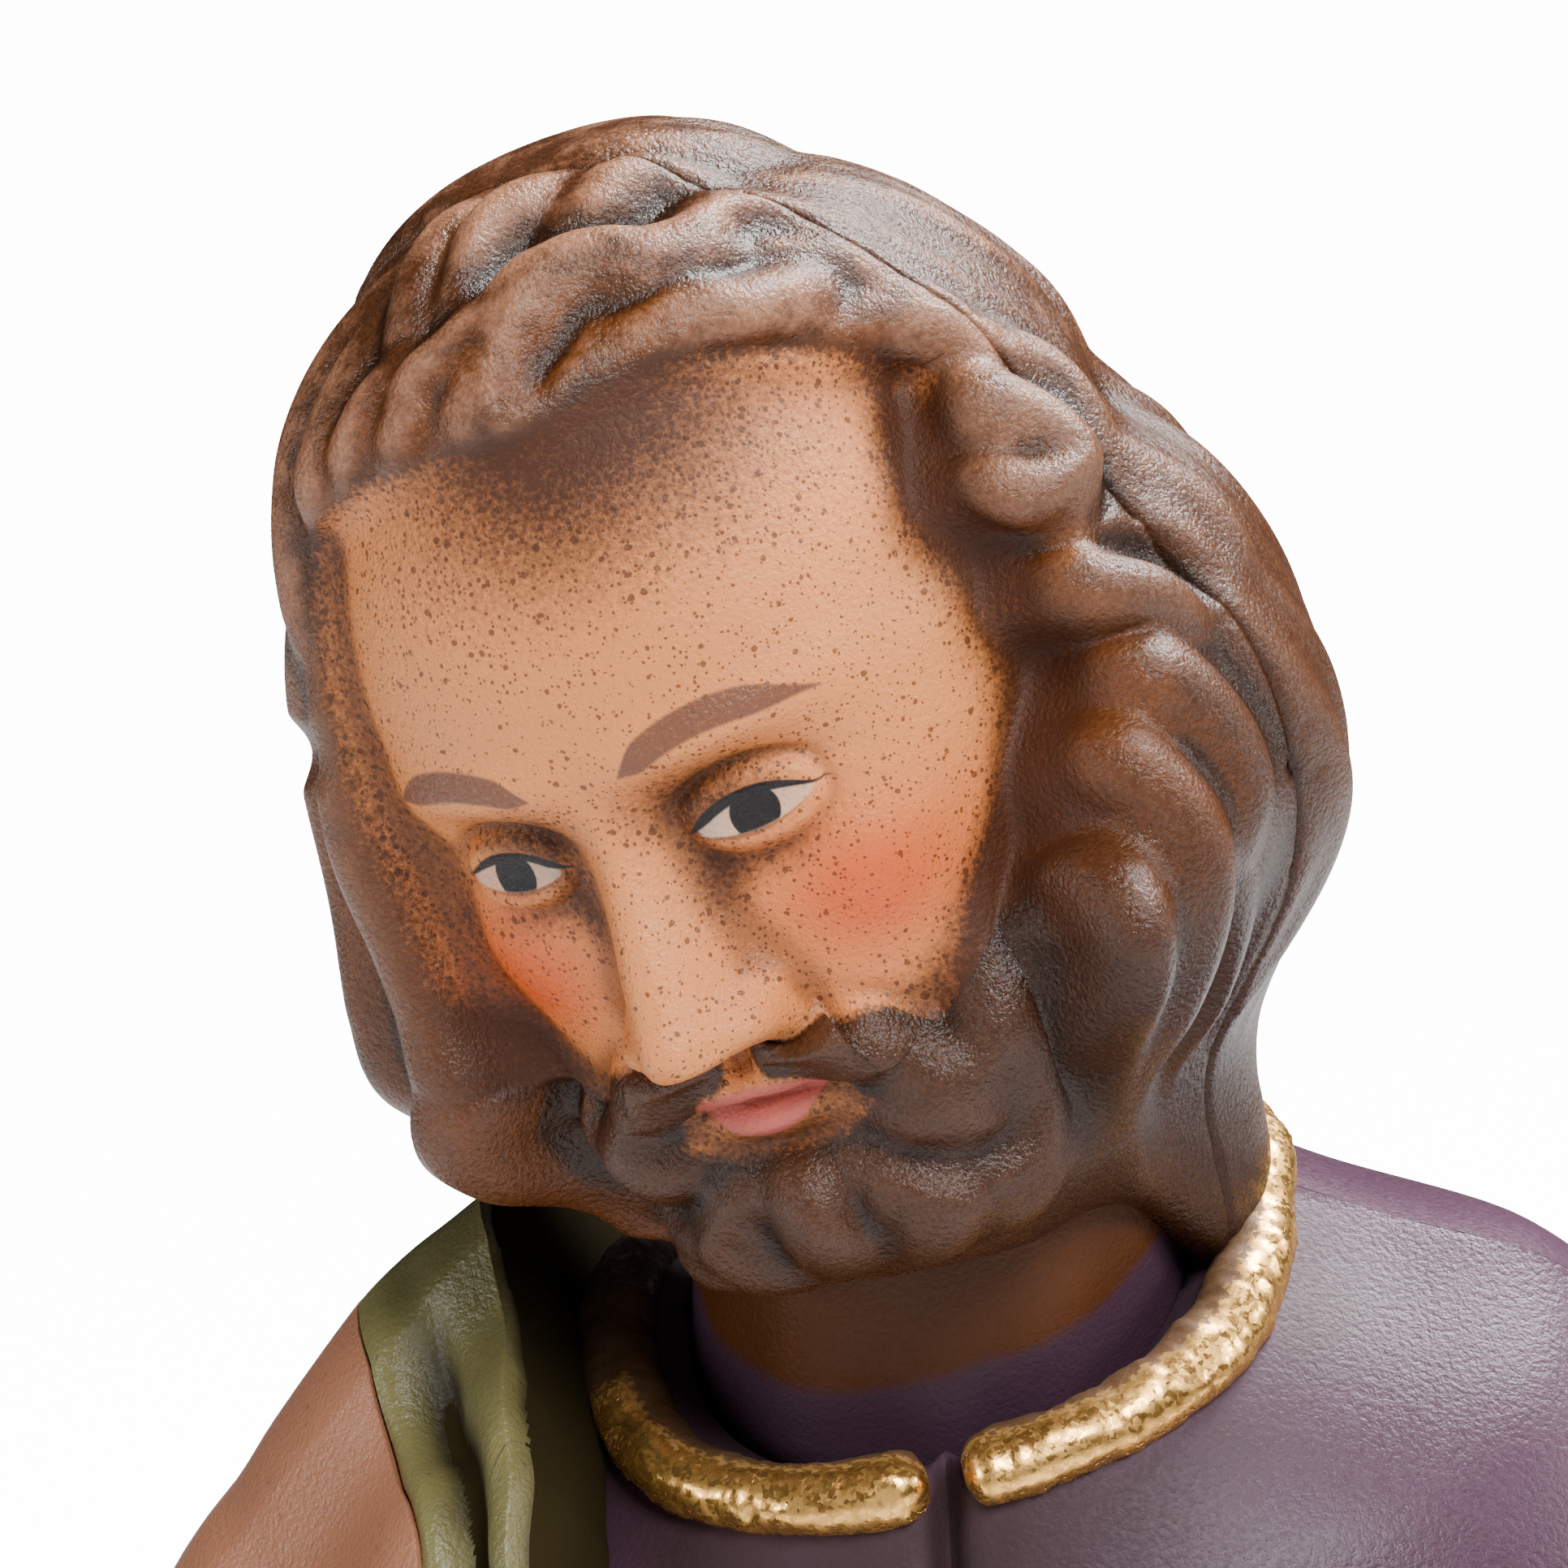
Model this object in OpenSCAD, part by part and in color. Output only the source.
// Standing nativity figure: a bearded man in a tunic and a mantle, with a loose staff.
// It is a hollow cast figure, put together from separate castings and painted.
// Millimetres. The figure faces -Y, its left hand is on +X, and it stands on Z = 0.

/* [Figure] */
// Height from the table to the crown of the hair
figure_h = 125; // [115:1:135]
// Height of the head from the chin to the crown
head_h = 17.5; // [16.5:0.5:19]
// Width across the shoulders of the tunic
shoulder_w = 28; // [26:0.5:30]
// Width of the tunic at its hem
hem_w = 33; // [31:0.5:36]
// How far the right shoulder drops, in degrees
shoulder_tilt = 10; // [4:1:12]

/* [Head pose] */
// Turn of the head towards the right hand, in degrees
head_turn = 25; // [10:1:30]
// Bow of the head, in degrees
head_bow = 18; // [10:1:24]
// Lean of the head towards the right shoulder, in degrees
head_lean = 16; // [12:1:18]

/* [Drapery] */
// Depth of the tunic's folds at the hem
fold_d = 1.6; // [0.4:0.1:1.8]
// Number of folds round the tunic
fold_n = 9; // [7:1:11]
// Thickness of the mantle
mantle_t = 1.7; // [1.4:0.1:2.2]
// Depth of the mantle's folds
mantle_fold_d = 1.4; // [0.3:0.1:1.6]

/* [Castings] */
// Wall of the hollow tunic
wall = 2.4; // [2:0.1:3]
// Glue line between pieces that are bonded together
glue = 0.06; // [0.04:0.01:0.1]

/* [Base] */
// Length of the base
base_l = 58; // [56:1:64]
// Depth of the base
base_w = 44; // [42:1:48]
// Height of the base
base_h = 6; // [5:0.5:8]

/* [Staff] */
// Diameter of the staff
staff_d = 2.4; // [2:0.1:2.8]
// Height of the staff's knob above the table
staff_top = 112; // [100:1:118]
// Gap round the staff in the fist
staff_gap = 0.15; // [0.1:0.05:0.3]

/* [Hidden] */
$fn = 48;

stature = figure_h - base_h;
// Nominal stature that the body's sizes were drawn at, and the scale from it
nominal_stature = 119;
u = stature / nominal_stature;
hu = head_h / 20;
purple = "#6d5a6b";
brown = "#8c5f4b";
green = "#7d8452";
hair_brown = "#5b4034";
flesh = "#d9a273";
gold = "#b98a3a";
cord_tan = "#b9a06a";
wood = "#7a5638";

degrees_per_radian = 180 / PI;

// Small helpers

function lvl(f) = base_h + f * stature;
function mix(a, b, t) = a + (b - a) * t;
function ease(a, b, x) = let (t = min(1, max(0, (x - a) / (b - a)))) t * t * (3 - 2 * t);
function bell(x, c, w) = exp(-pow((x - c) / w, 2));
function turn_gap(a, b) = let (d = (a - b + 1080) % 360) d > 180 ? d - 360 : d;
function unit(v) = v / norm(v);
function span(xs, x, i = 0) = (i >= len(xs) - 2 || x < xs[i + 1]) ? i : span(xs, x, i + 1);
function slope(xs, ys, i) =
    let (lo = max(0, i - 1), hi = min(len(xs) - 1, i + 1)) (ys[hi] - ys[lo]) / (xs[hi] - xs[lo]);
// Smooth curve through the points (xs, ys); ys may be numbers or points
function curve(xs, ys, at) =
    let (
        x = min(xs[len(xs) - 1], max(xs[0], at)),
        i = span(xs, x),
        h = xs[i + 1] - xs[i],
        t = (x - xs[i]) / h,
        m0 = slope(xs, ys, i) * h,
        m1 = slope(xs, ys, i + 1) * h
    )
    (2 * t ^ 3 - 3 * t ^ 2 + 1) * ys[i] + (t ^ 3 - 2 * t ^ 2 + t) * m0
        + (3 * t ^ 2 - 2 * t ^ 3) * ys[i + 1] + (t ^ 3 - t ^ 2) * m1;
function flat(lists) = [for (l = lists) for (p = l) p];
function volume(pts, faces) =
    [for (f = faces) cross(pts[f[0]], pts[f[1]]) * pts[f[2]]] * [for (f = faces) 1];

// Solid whose faces are turned outwards, whichever way round its points were given
module turned_out(pts, faces) {
    flip = volume(pts, faces) > 0;
    polyhedron(points = pts, faces = [for (f = faces) flip ? [f[0], f[2], f[1]] : f]);
}

// Closed solid through rings of equal length; each end is closed with a fan about its middle
module skin_rings(rings) {
    n = len(rings[0]);
    m = len(rings);
    ends = [for (r = [rings[0], rings[m - 1]]) [for (k = [0:2]) [for (p = r) p[k]] * [for (p = r) 1 / n]]];
    sides = [
        for (j = [0:m - 2], i = [0:n - 1])
            let (a = j * n + i, b = j * n + (i + 1) % n)
                each [[a, b, b + n], [a, b + n, a + n]]
    ];
    low = [for (i = [0:n - 1]) [n * m, (i + 1) % n, i]];
    high = [for (i = [0:n - 1]) [n * m + 1, n * (m - 1) + i, n * (m - 1) + (i + 1) % n]];
    turned_out(concat(flat(rings), ends), concat(sides, low, high));
}

// Closed sheet between two grids of points, an outer one and an inner one
module skin_sheet(outer, inner) {
    m = len(outer);
    n = len(outer[0]);
    rings = [for (j = [0:m - 1]) concat(outer[j], [for (i = [n - 1:-1:0]) inner[j][i]])];
    w = 2 * n;
    sides = [
        for (j = [0:m - 2], i = [0:w - 1])
            let (a = j * w + i, b = j * w + (i + 1) % w)
                each [[a, b, b + w], [a, b + w, a + w]]
    ];
    strip = [for (i = [0:n - 2]) [i, i + 1, w - 2 - i, w - 1 - i]];
    low = [for (q = strip) each [[q[0], q[2], q[1]], [q[0], q[3], q[2]]]];
    top = (m - 1) * w;
    high = [for (q = strip) each [[q[0], q[1], q[2]], [q[0], q[2], q[3]]]];
    turned_out(flat(rings), concat(sides, low, [for (f = high) f + [top, top, top]]));
}

// The body: one map from an angle, a height and a radius to a point, shared by all the drapery

body_z = [for (f = [0, .10, .28, .45, .575, .682, .741, .777, .799, .813, .822]) lvl(f)];
body_half_w = [
    for (k = [.50, .455, .405, .37]) k * hem_w,
    for (k = [.37, .425, .465, .455, .385, .275, .21]) k * shoulder_w
];
body_front = [for (d = [14.6, 13.2, 11.4, 10.4, 8.6, 9.4, 8.9, 7.9, 7.0, 6.2, 5.7]) d * u];
body_back = [for (d = [13.6, 12.4, 10.8, 9.8, 8.0, 8.8, 8.5, 7.7, 6.8, 6.1, 5.6]) d * u];
body_x = [for (d = [0, 0, .3, .8, 1, .6, .1, -.3, -.3, -.3, -.3]) d * u];
body_y = [for (d = [0, 0, 0, 0, -.3, -.8, -1, -1, -1, -1, -1]) d * u];
body_square = 2.3;
collar_z = lvl(.822);
waist_z = lvl(.575);
neck_r = 4.2 * u;

function oval(t, a, front, back, n) =
    let (c = abs(cos(t)) / a, s = abs(sin(t)) / (sin(t) < 0 ? front : back))
    pow(pow(c, n) + pow(s, n), -1 / n);
function body_r(t, z) =
    let (front = curve(body_z, body_front, z), back = curve(body_z, body_back, z))
    oval(t, curve(body_z, body_half_w, z), front, back, body_square);
// The right shoulder hangs lower and the neckline dips to the front
neck_dip = 4.4 * u;
nape_rise = .10;
function body_lift(x, y, z) =
    ease(lvl(.62), lvl(.785), z)
        * (x * tan(shoulder_tilt) + (y < 0 ? neck_dip * (exp(y / (6 * u)) - 1) : y * nape_rise));
function body_mid(z) = [curve(body_z, body_x, z), curve(body_z, body_y, z)];
function body_point(t, z, r) =
    let (x = r * cos(t), y = r * sin(t), mid = body_mid(z))
    [mid[0] + x, mid[1] + y, z + body_lift(x, y, z)];

// Folds of the tunic: deep at the hem, gone at the girdle, with a little blousing above it
function skirt_fold(t, z) =
    fold_d * ease(lvl(.57), lvl(.22), z)
        * (.65 * cos(fold_n * t + 40 * sin(2 * t) + .6 * z) + .35 * cos(5 * t + 70 - .5 * z));
function chest_fold(t, z) =
    bell(z, lvl(.627), 4 * u) * (.7 + .3 * cos(12 * t)) * u
        + .25 * u * bell(z, lvl(.72), 5 * u) * cos(8 * t + 4 * z);
// The short slit below the neck
slit_h = 13 * u;
slit_d = .7 * u;
function slit(t, z) =
    slit_d * bell(turn_gap(t, 270), 0, 3.2) * ease(collar_z - slit_h, collar_z - slit_h + 3, z);
function cloth_r(t, z) = body_r(t, z) + skirt_fold(t, z) + chest_fold(t, z) - slit(t, z);

rows = 22;
front_cols = [for (i = [0:28]) let (s = i / 14 - 1) 270 + 90 * sign(s) * pow(abs(s), 1.3)];
back_cols = [for (i = [0:22]) 180 * i / 22];
hem_rise = 4 * u;
// Rows crowd towards the collar, where the shoulders turn over
function row_z(j) =
    let (f = j / (rows - 1), g = max(0, (f - .5) / .5))
    f < .5 ? mix(base_h, lvl(.62), f / .5) : mix(lvl(.62), collar_z, 1 - pow(1 - g, 1.7));
row_zs = [for (j = [0:rows - 1]) row_z(j)];
function hem_lift(t, z) = hem_rise * bell(turn_gap(t, 270), 0, 34) * ease(lvl(.2), base_h, z);
// Radius of the tunic's skin, straight from row to row as it is cast
function tunic_r(t, z) =
    let (j = span(row_zs, z), f = (z - row_zs[j]) / (row_zs[j + 1] - row_zs[j]))
    mix(cloth_r(t, row_zs[j]), cloth_r(t, row_zs[j + 1]), f);

// Base

spigot_r = 10 * u;
spigot_x = 3 * u;
spigot_h = 4 * u;
edge_r = 2.2;

module base_edge_profile(half) {
    square([half - edge_r, base_h]);
    square([half, base_h - edge_r]);
    translate([half - edge_r, base_h - edge_r]) circle(edge_r);
}

module base_plate() {
    half = base_w / 2;
    straight = base_l - base_w;
    color("#6f6a4a") {
        for (side = [0, 180])
            rotate([0, 0, side]) translate([straight / 2, 0, 0])
                rotate([0, 0, -90]) rotate_extrude(angle = 180) base_edge_profile(half);
        for (side = [0, 180])
            rotate([0, 0, side]) translate([-straight / 2, 0, 0])
                rotate([90, 0, 90]) linear_extrude(straight) base_edge_profile(half);
        translate([0, 0, base_h - 1]) {
            for (x = [-spigot_x, spigot_x]) translate([x, 0, 0]) cylinder(r = spigot_r, h = spigot_h + 1);
            translate([-spigot_x, -spigot_r, 0]) cube([2 * spigot_x, 2 * spigot_r, spigot_h + 1]);
        }
    }
}

// Tunic, in a front and a back shell that meet along the sides

rim_fall = .9 * u;
function tunic_outer(t, z) = body_point(t, z + hem_lift(t, z), tunic_r(t, z));
function tunic_inner(t, z) =
    let (hole = neck_r + glue, top = ease(lvl(.78), collar_z, z), r = max(body_r(t, z) - wall, hole))
    body_point(t, z + hem_lift(t, z) - top * rim_fall, mix(r, hole, top));

module tunic_shell(cols, side) {
    gap = [0, side * glue / 2, .02];
    color(purple) skin_sheet(
        [for (z = row_zs) [for (t = cols) tunic_outer(t, z) + gap]],
        [for (z = row_zs) [for (t = cols) tunic_inner(t, z) + gap]]
    );
}

module tunic_front() { tunic_shell(front_cols, -1); }
module tunic_back() { tunic_shell(back_cols, 1); }

// Gold rim of the neckline, in two lengths that part at the slit and meet at the nape

rim_half_w = .65 * u;
rim_h = .85 * u;
rim_out = .25 * u;
slit_gap = 3.5;
nape_gap = .5;

function rim_point(t, a) =
    let (
        outer = tunic_r(t, collar_z),
        w = outer + rim_out - rim_half_w + rim_half_w * cos(a),
        face = -rim_fall * (outer - w) / (outer - neck_r)
    )
    body_point(t, collar_z, w) + [0, 0, face + 2 * glue + rim_h * sin(a)];
module rim(from, to) {
    n = 20;
    color(gold) skin_rings([for (i = [0:n]) [for (a = [0:30:180]) rim_point(mix(from, to, i / n), a)]]);
}
module collar_left() { rim(270 + slit_gap, 450 - nape_gap); }
module collar_right() { rim(90 + nape_gap, 270 - slit_gap); }

// Cord girdle, knotted at the front, with two hanging ends

girdle_r = 1.25 * u;
girdle_from = 222;
girdle_to = 396;
knot_at = 287;
knot_swell = .55;
tail_l = 21 * u;
tail_r = .95 * u;

function girdle_point(t, a) =
    let (k = 1 + knot_swell * bell(t, knot_at, 5), z = waist_z + girdle_r * k * cos(a))
    body_point(t, z, tunic_r(t, z) + 2 * glue + girdle_r * k * max(0, sin(a)));
module girdle() {
    n = 32;
    around = [0, 36, 72, 108, 144, 180, 240, 300];
    turns = [for (i = [0:n]) mix(girdle_from, girdle_to, i / n)];
    color(cord_tan) skin_rings([for (t = turns) [for (a = around) girdle_point(t, a)]]);
}
function tail_point(t0, lean, f, a) =
    let (
        z = waist_z - girdle_r * (1 + knot_swell) - 2 * glue - tail_l * f,
        k = tail_r * (1 + .5 * ease(.8, .95, f)),
        mid = t0 + lean * f,
        t = mid + k * cos(a) * degrees_per_radian / tunic_r(mid, z)
    )
    body_point(t, z, max(tunic_r(t, z) + 2 * glue, tunic_r(mid, z) + .6 * k + k * sin(a)));
module girdle_tails() {
    n = 14;
    color(cord_tan) for (end = [[knot_at - 7, -5], [knot_at + 7, 4]])
        skin_rings([for (i = [0:n]) [for (a = [0:45:315]) tail_point(end[0], end[1], i / n, a)]]);
}

// Mantle over the right shoulder and arm and round the back

collar_row = rows - 3;
mantle_from = 40;
mantle_edge = front_cols[3];
facing_edge = front_cols[6];
seam_gap = 1.5;
mantle_cols = concat([for (t = back_cols) if (t >= mantle_from) t], [for (i = [1:3]) front_cols[i]]);
arm_at = 184;
upper_arm_d = 3.4 * u;
forearm_d = 5.2 * u;
pull = 12;
pleat_d = .55 * u;
shoulder_roll = 1.9 * u;

// The front edge is drawn back where the forearm comes out
function forearm_z(t) = lvl(.603) + .05 * (t - arm_at) * u;
function drawn(t, z) = t - pull * ease(140, 215, t) * bell(z, lvl(.63), 14 * u);
function upper_arm(t, z) =
    upper_arm_d * bell(t, arm_at, 30) * ease(lvl(.47), lvl(.62), z) * ease(lvl(.787), lvl(.72), z);
function forearm(t, z) =
    let (d = z - forearm_z(t))
    forearm_d * ease(arm_at - 14, arm_at + 14, t) * bell(d, 0, (d > 0 ? 5.5 : 20) * u);
function mantle_fold(t, z) =
    mantle_fold_d * mix(.3, 1, ease(lvl(.75), lvl(.25), z))
        * (.7 * cos(8 * t + 2.4 * (z - waist_z) / u) + .3 * cos(15 * t - 1.5 * z));
function mantle_r(t, z) =
    let (arm = pow(pow(upper_arm(t, z), 3) + pow(forearm(t, z), 3), 1 / 3))
    max(tunic_r(t, z) + .7 * mantle_t, body_r(t, z) + mantle_t + arm + mantle_fold(t, z));
// Two upright pleats in the green facing
function facing_r(c, t, z) =
    let (f = (c - mantle_edge) / (facing_edge - mantle_edge))
    max(tunic_r(t, z) + .6 * mantle_t, mantle_r(t, z) - pleat_d * (1 + cos(720 * f)) / 2);
function mantle_low(t) = lvl(curve([40, 90, 150, 190, 206, 227], [.15, .06, .08, .11, .15, .24], t));
// The cloth lies in a thick roll on top of the shoulder
function roll_up(t, z) = shoulder_roll * bell(t, 196, 48) * ease(lvl(.755), lvl(.80), z);
function mantle_high(t) = mix(lvl(.53), row_z(collar_row), ease(40, 118, t));

// Piece of cloth laid on the tunic between two heights
module laid_cloth(cols, zs, low, high, outer_r) {
    grid = [for (z = zs) [for (c = cols) let (h = min(high(c), max(low(c), z))) [c, drawn(c, h), h]]];
    function face(p) = body_point(p[1], p[2], outer_r(p[0], p[1], p[2])) + [0, 0, roll_up(p[1], p[2])];
    function lining(p) = body_point(p[1], p[2], tunic_r(p[1], p[2]) + 2 * glue);
    skin_sheet([for (row = grid) [for (p = row) face(p)]], [for (row = grid) [for (p = row) lining(p)]]);
}
module mantle() {
    color(brown) laid_cloth(
        mantle_cols, [for (j = [1:collar_row]) row_zs[j]],
        function (c) mantle_low(c), function (c) mantle_high(c), function (c, t, z) mantle_r(t, z)
    );
}
module mantle_facing() {
    n = 12;
    color(green) laid_cloth(
        [for (i = [0:n]) mix(mantle_edge + seam_gap, facing_edge, i / n)],
        [for (j = [2:rows - 1]) row_zs[j]],
        function (c) mantle_low(c), function (c) collar_z, function (c, t, z) facing_r(c, t, z)
    );
}
module mantle_collar() {
    color(green) laid_cloth(
        [for (c = mantle_cols) if (c >= 120) c],
        [for (i = [0:6]) mix(row_zs[collar_row], collar_z, i / 6)],
        function (c) row_zs[collar_row] + 2 * glue, function (c) collar_z, function (c, t, z) mantle_r(t, z)
    );
}

// Neck, glued into the neckline and the head

neck_top_r = 3.9 * u;
neck_plug_l = 6 * u;
neck_foot = [each body_mid(collar_z), collar_z];
// Chin level on the skull's axis, and the place where the neck ends inside the head
head_at = neck_foot + [.6 * u, -1.6 * u, figure_h - 19.6 * hu - collar_z];
neck_end = head_at + [0, .6 * u, 3 * hu];

module leaning(from, to) {
    v = to - from;
    translate(from) rotate([0, acos(v[2] / norm(v)), atan2(v[1], v[0])]) children();
}
module neck_shape(extra = 0) {
    foot = neck_foot - [0, 0, 1.2 * u];
    leaning(foot, neck_end)
        cylinder(r1 = neck_r - 3 * glue + extra, r2 = neck_top_r + extra, h = norm(neck_end - foot) + extra);
    translate(neck_foot - [0, 0, neck_plug_l]) cylinder(r = neck_r + extra, h = neck_plug_l - .4 * u + extra);
}
module neck_plug() { color(flesh) neck_shape(); }

// Head, in a front half with the face and a back half, both with waved hair

head_z = [for (z = [-7.4, -2.4, 0, 2, 4, 6, 8, 10.6, 13, 15.5, 17.5, 18.9, 19.7, 20]) z * hu];
head_side = [for (d = [4.8, 5.0, 5.5, 6.0, 6.4, 6.7, 6.85, 6.95, 6.5, 5.5, 4.2, 2.9, 1.6, .3]) d * hu];
head_face = [for (d = [3.8, 4.4, 6.2, 6.9, 7.0, 7.0, 7.1, 7.6, 7.6, 6.8, 5.4, 3.8, 2.0, .3]) d * hu];
head_rear = [for (d = [5.0, 5.3, 5.9, 6.5, 6.9, 7.2, 7.5, 7.5, 7.0, 5.8, 4.4, 3.0, 1.6, .3]) d * hu];
hair_end_at = [0, 45, 90, 135, 180, 205, 225, 270, 315, 360];
hair_end_z = [-4.4, -4.0, -3.4, -2.7, -2.4, -2.1, -1.6, -1.4, -2.2, -4.4];
hair_t = 1.3;
lock_d = .4;
right_hang = 5.2;
left_swell = 1;
beard_t = .9;
skull_square = 2.15;

function head_low(t) = curve(hair_end_at, hair_end_z, t) * hu;
function skull_r(t, z) =
    let (front = curve(head_z, head_face, z), back = curve(head_z, head_rear, z))
    oval(t, curve(head_z, head_side, z), front, back, skull_square);
function mirrored_bell(x, c, w) = bell(abs(x), c, w);
// Share of the surface that is bare face, given across and up in head millimetres
function bare(x, z, t) =
    sin(t) >= 0 ? 0 : ease(.93, .82, abs(cos(t))) * ease(16.4, 15.4, z + .05 * x * x) * ease(-1, 2, z);
// The head leans, so the hair swings away from its right side and lies full on the left
function swing(t, z) = cos(t) < 0 ? right_hang * ease(12, -8, z) : left_swell * bell(z, 8, 5);
function locks(t, z) = cos(13 * t + 60 * sin(22 * z)) + .4 * cos(29 * t - 40 * z);
function brow_and_eyes(x, z) =
    .35 * bell(z, 10.9, .8) * mirrored_bell(x, 2.4, 2.2)
        - .75 * bell(z, 9.4, 1.1) * mirrored_bell(x, 2.7, 1.3)
        + .35 * bell(z, 9.3, .55) * mirrored_bell(x, 2.65, .9);
function nose(x, z) =
    2.4 * ease(10.8, 6.2, z) * ease(5, 5.7, z) * bell(x, 0, mix(.6, 1, ease(10, 6, z)))
        + .7 * bell(z, 5.8, .55) * mirrored_bell(x, 1.15, .5);
function cheeks_and_lips(x, z) =
    .3 * bell(z, 7.2, 1.6) * mirrored_bell(x, 3.8, 1.5) + .35 * bell(z, 3.2, .4) * bell(x, 0, 1.1)
        - .3 * bell(z, 3.6, .2) * bell(x, 0, 1.3);
function moustache(x, z) =
    .9 * bell(z, 4.5 - .5 * abs(x), .6) * ease(.2, .7, abs(x)) * ease(4.2, 3, abs(x));
function beard(x, z) =
    beard_t * ease(2.7, 1.5, z - .09 * x * x) * (1 + .3 * cos(150 * x + 40 * z));
function head_r(t, height) =
    let (
        z = height / hu,
        skull = skull_r(t, height) / hu,
        x = skull * cos(t),
        face = bare(x, z, t),
        mass = hair_t * ease(20.5, 17, z) * (.8 + .8 * bell(z, 4, 5)) + pow(cos(t), 2) * swing(t, z),
        hair = (1 - face) * (mass + lock_d * locks(t, z) * ease(20, 18, z)),
        beard_here = sin(t) < 0 ? ease(.95, .8, abs(cos(t))) : 0,
        relief = brow_and_eyes(x, z) + nose(x, z) + cheeks_and_lips(x, z) + moustache(x, z)
    )
    hu * (skull + mix(hair, relief, face) + beard_here * max(0, beard(x, z)) * mix(.35, 1, face));

head_rows = 31;
face_cols = [for (i = [0:40]) let (s = i / 20 - 1) 270 + 90 * sign(s) * pow(abs(s), 1.25)];
nape_cols = [for (i = [0:22]) 180 * i / 22];
module head_half(cols, side) {
    skin_rings([
        for (j = [0:head_rows]) let (f = j / head_rows, g = .55 * f + .45 * sin(90 * f)) [
            for (t = cols)
                let (z = mix(head_low(t), 20 * hu, g), r = head_r(t, z) * mix(.78, 1, ease(0, .08, f)))
                [r * cos(t), r * sin(t) + side * glue / 2, z]
        ]
    ]);
}
module posed_head() { translate(head_at) rotate([head_bow, -head_lean, -head_turn]) children(); }
module head_front() {
    color(flesh) difference() {
        posed_head() head_half(face_cols, -1);
        neck_shape(glue);
    }
}
module head_back() {
    color(hair_brown) difference() {
        posed_head() head_half(nape_cols, 1);
        neck_shape(glue);
    }
}

// Left arm: a sleeve that bends forward at the elbow, and a fist that guides the staff

staff_x = 20 * u;
staff_y = -12.6 * u;
fist_z = lvl(.638);
sleeve_path = [for (p = [
    [9.6, -.9, 102.8], [13.2, -.6, 100.6], [15.7, .2, 95.4], [17.1, 1.1, 89.4], [18.1, 1.8, 83.6],
    [19.0, .8, 79.3], [19.6, -2.1, 77.4], [19.9, -4.9, 77.9], [20.1, -7.9, 79.4]
]) [p[0] * u, p[1] * u, base_h + (p[2] - 6) * u]];
sleeve_r = [for (r = [1.0, 3.5, 4.6, 4.6, 4.4, 4.4, 4.2, 4.2, 4.5]) r * u];
cuff_wall = .9 * u;
cuff_depth = 2.6 * u;
forearm_dir = unit(sleeve_path[8] - sleeve_path[7]);
wrist_at = sleeve_path[8] - forearm_dir * .4 * u;
peg_r = .5 * u;
peg_back = 6 * u;
peg_fore = 2 * u;
stops = [0:8];

// Presses a point out of the tunic's side
seat_gap = 5 * glue;
function seated(p) =
    let (
        z = p[2] - body_lift(p[0], p[1], p[2]),
        q = [p[0], p[1]] - body_mid(z),
        t = atan2(q[1], q[0]),
        r = norm(q)
    )
    r < tunic_r(t + 360, z) + seat_gap ? body_point(t, z, tunic_r(t + 360, z) + seat_gap) : p;
function tube_ring(mid, dir, r, n) =
    let (side = unit([1, 0, 0] - dir * dir[0]), up = cross(dir, side))
    [for (i = [0:n - 1]) seated(mid + r * (side * cos(360 * i / n) + up * sin(360 * i / n)))];
function sleeve_mid(s) = curve([each stops], sleeve_path, s);
function sleeve_dir(s) = unit(sleeve_mid(min(8, s + .1)) - sleeve_mid(max(0, s - .1)));
function sleeve_crease(s) = 1 + .05 * sin(400 * s) * bell(s, 5, 1.6);

module wrist_peg_shape(extra = 0) {
    leaning(wrist_at - forearm_dir * peg_back, wrist_at + forearm_dir * peg_fore)
        cylinder(r = peg_r + extra, h = peg_back + peg_fore + extra, $fn = 24);
}
module left_sleeve() {
    n = 16;
    steps = 24;
    cuff = sleeve_path[8];
    outside = [
        for (i = [0:steps]) let (s = 8 * i / steps)
            tube_ring(sleeve_mid(s), sleeve_dir(s), curve([each stops], sleeve_r, s) * sleeve_crease(s), n)
    ];
    inside = [
        tube_ring(cuff, forearm_dir, sleeve_r[8] - cuff_wall, n),
        tube_ring(cuff - forearm_dir * cuff_depth, forearm_dir, sleeve_r[8] - 2 * cuff_wall, n)
    ];
    color(purple) difference() {
        skin_rings(concat(outside, inside));
        translate(-forearm_dir * glue) wrist_peg_shape(glue);
    }
}

fist_at = [staff_x, staff_y, fist_z];
finger_r = 1.1 * u;
finger_pitch = 2.15 * u;
finger_wrap = 240;
grip_r = staff_d / 2 + finger_r * .95;
palm_r = 1.35 * u;
palm_at = [[2.1, 1.5, -2.6] * u, [2.1, 1.5, 2.8] * u];
wrist_r = 2.1 * u;
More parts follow.
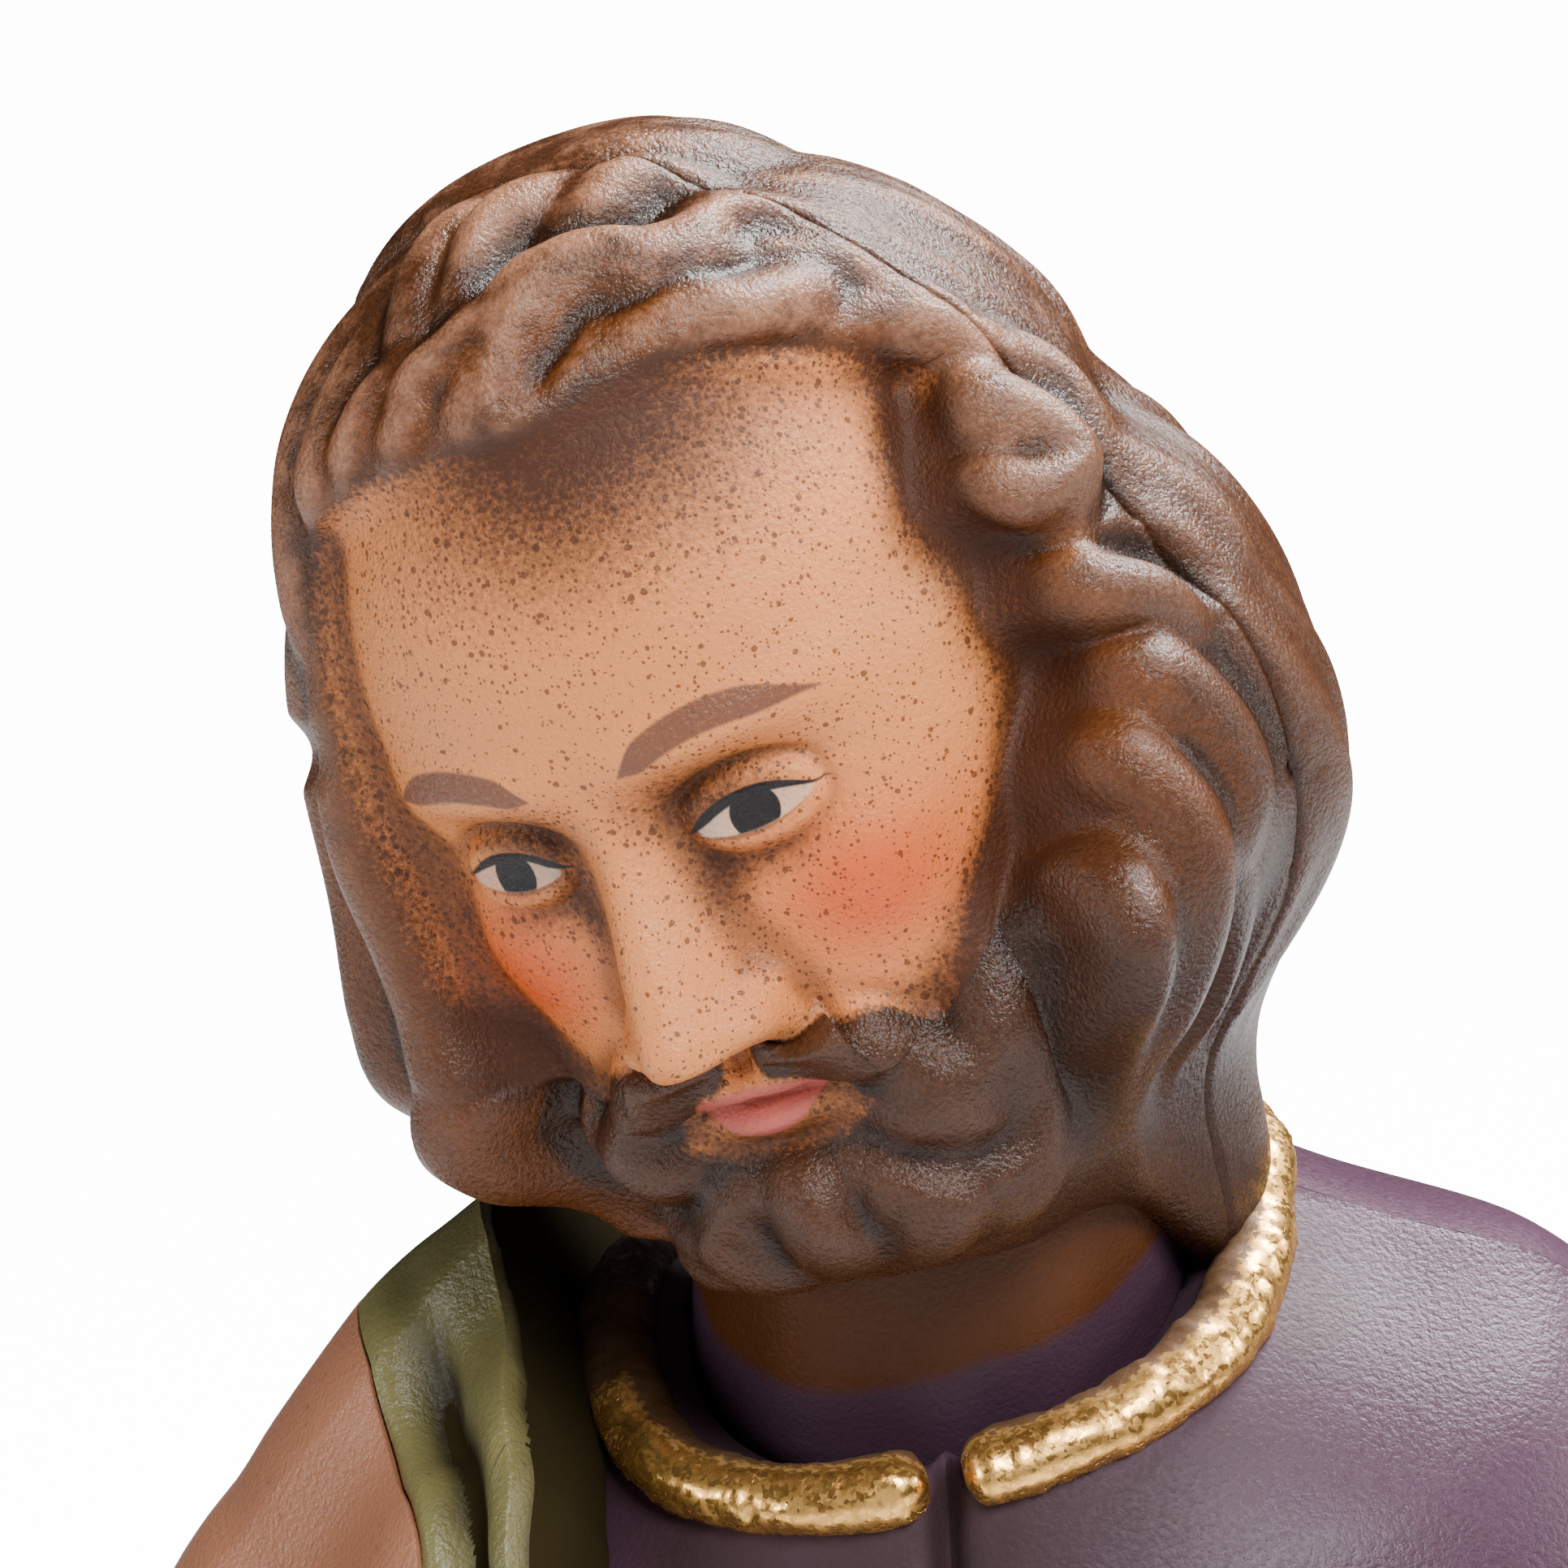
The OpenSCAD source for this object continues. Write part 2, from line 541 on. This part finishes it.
// Root, joint and tip of the thumb, from the middle of the fist
thumb_at = [[.4, 2.4, 3.4] * u, [-1.9, 1, 4.3] * u, [-2.5, -.6, 3.6] * u];
thumb_r = [1.3 * u, 1.05 * u, .95 * u];
fist_h = 20 * u;
module left_hand() {
    color(flesh) difference() {
        union() {
            for (i = [-1.5:1:1.5]) translate(fist_at + [0, 0, i * finger_pitch])
                rotate_extrude(angle = finger_wrap, start = 40 - finger_wrap)
                    translate([grip_r, 0]) circle(finger_r, $fn = 24);
            hull($fn = 16) {
                translate(wrist_at - forearm_dir * .2 * u) sphere(wrist_r);
                for (p = palm_at) translate(fist_at + p) sphere(palm_r);
            }
            hull($fn = 16) for (i = [0:2]) translate(fist_at + thumb_at[i]) sphere(thumb_r[i]);
        }
        translate(fist_at - [0, 0, fist_h / 2]) cylinder(d = staff_d + 2 * staff_gap, h = fist_h);
        wrist_peg_shape(glue);
    }
}
module left_wrist_peg() { color("#8f8f8f") wrist_peg_shape(); }

// Right arm: the cuff comes out of the mantle, and the hand lies on the breast

cuff_from = 217;
cuff_to = 252;
cuff_r = 3.4 * u;
cuff_flare = .4 * u;
cuff_floor = .6 * u;
hand_l = 10 * u;
finger_gap = .28;
hand_rise = 38;
hand_from = 251;

function cuff_point(t, r, a, floor = 2 * glue) =
    let (mid = forearm_z(t), z = mid + r * cos(a))
    body_point(t, z, max(tunic_r(t, z) + floor, tunic_r(t, mid) + .7 * r + r * sin(a)));
module right_sleeve() {
    n = 8;
    ring = [0:20:340];
    outside = [
        for (i = [0:n]) let (t = mix(cuff_from, cuff_to, i / n))
            [for (a = ring) cuff_point(t, cuff_r + cuff_flare * i / n, a)]
    ];
    inside = [
        [for (a = ring) cuff_point(cuff_to, cuff_r + cuff_flare - cuff_wall, a, cuff_floor)],
        [for (a = ring) cuff_point(hand_from - 14, cuff_r + cuff_flare - cuff_wall, a, cuff_floor)]
    ];
    color(purple) skin_rings(concat(outside, inside));
}

// Half width and height of the hand along its length
hand_s = [0, .2, .4, .55, .75, .9, 1];
hand_half_w = [for (w = [1.5, 2.0, 2.5, 2.45, 2.2, 1.75, .9]) w * u];
hand_h = [for (h = [2.3, 2.1, 1.9, 1.7, 1.4, 1.1, .5]) h * u];
function hand_point(s, a) =
    let (
        w = curve(hand_s, hand_half_w, s),
        across = w * cos(a),
        gaps = finger_gap * ease(.45, .6, s) * (1 - cos(720 * (across / w + 1))),
        h = sin(a) <= 0 ? 0 : curve(hand_s, hand_h, s) * pow(sin(a), .7) * (1 - gaps),
        along = hand_l * s * cos(hand_rise) - across * sin(hand_rise),
        z = forearm_z(hand_from) - .6 * u + hand_l * s * sin(hand_rise) + across * cos(hand_rise),
        t = hand_from - 5 + along * degrees_per_radian / tunic_r(270, z)
    )
    body_point(t, z, tunic_r(t, z) + 2 * glue + h + 1.4 * cuff_floor * ease(.4, .15, s));
module right_hand() {
    n = 16;
    around = flat([[0:15:180], [210:30:330]]);
    color(flesh) skin_rings([for (i = [0:n]) [for (a = around) hand_point(i / n, a)]]);
}

// Feet, under the raised front of the hem

foot_l = 8.4 * u;
foot_r = 2.4 * u;
foot_apart = 5 * u;
foot_y = -14.3 * u;
foot_gap = .02;
module foot(x, splay) {
    reach = foot_l / 2 - foot_r;
    color(flesh) translate([x, foot_y, base_h]) rotate([0, 0, splay])
        intersection() {
            hull($fn = 16) {
                translate([0, reach, 0]) scale([.95, 1, 1]) sphere(foot_r);
                translate([.2 * u, -reach, .1 * u]) scale([1.2, 1, .8]) sphere(foot_r);
            }
            translate([-foot_l, -foot_l, foot_gap]) cube([2 * foot_l, 2 * foot_l, 2 * foot_r]);
        }
}
module left_foot() { foot(foot_apart, 10); }
module right_foot() { foot(-foot_apart, -12); }

// Staff, loose in the fist, with a turned knob

staff_foot = .05;
knob_r = 1.9 * u;
ring_drop = 3.4 * knob_r;
ring_out = .35 * u;
ring_h = .8 * u;
module staff() {
    r = staff_d / 2;
    foot_z = base_h + staff_foot;
    color(wood) translate([staff_x, staff_y, 0]) {
        translate([0, 0, foot_z]) cylinder(r = r, h = staff_top - knob_r - foot_z);
        translate([0, 0, staff_top - knob_r]) sphere(knob_r);
        translate([0, 0, staff_top - ring_drop]) cylinder(r = r + ring_out, h = ring_h);
    }
}

base_plate();
tunic_front();
tunic_back();
collar_left();
collar_right();
girdle();
girdle_tails();
mantle();
mantle_facing();
mantle_collar();
neck_plug();
head_front();
head_back();
left_sleeve();
left_hand();
left_wrist_peg();
right_sleeve();
right_hand();
left_foot();
right_foot();
staff();
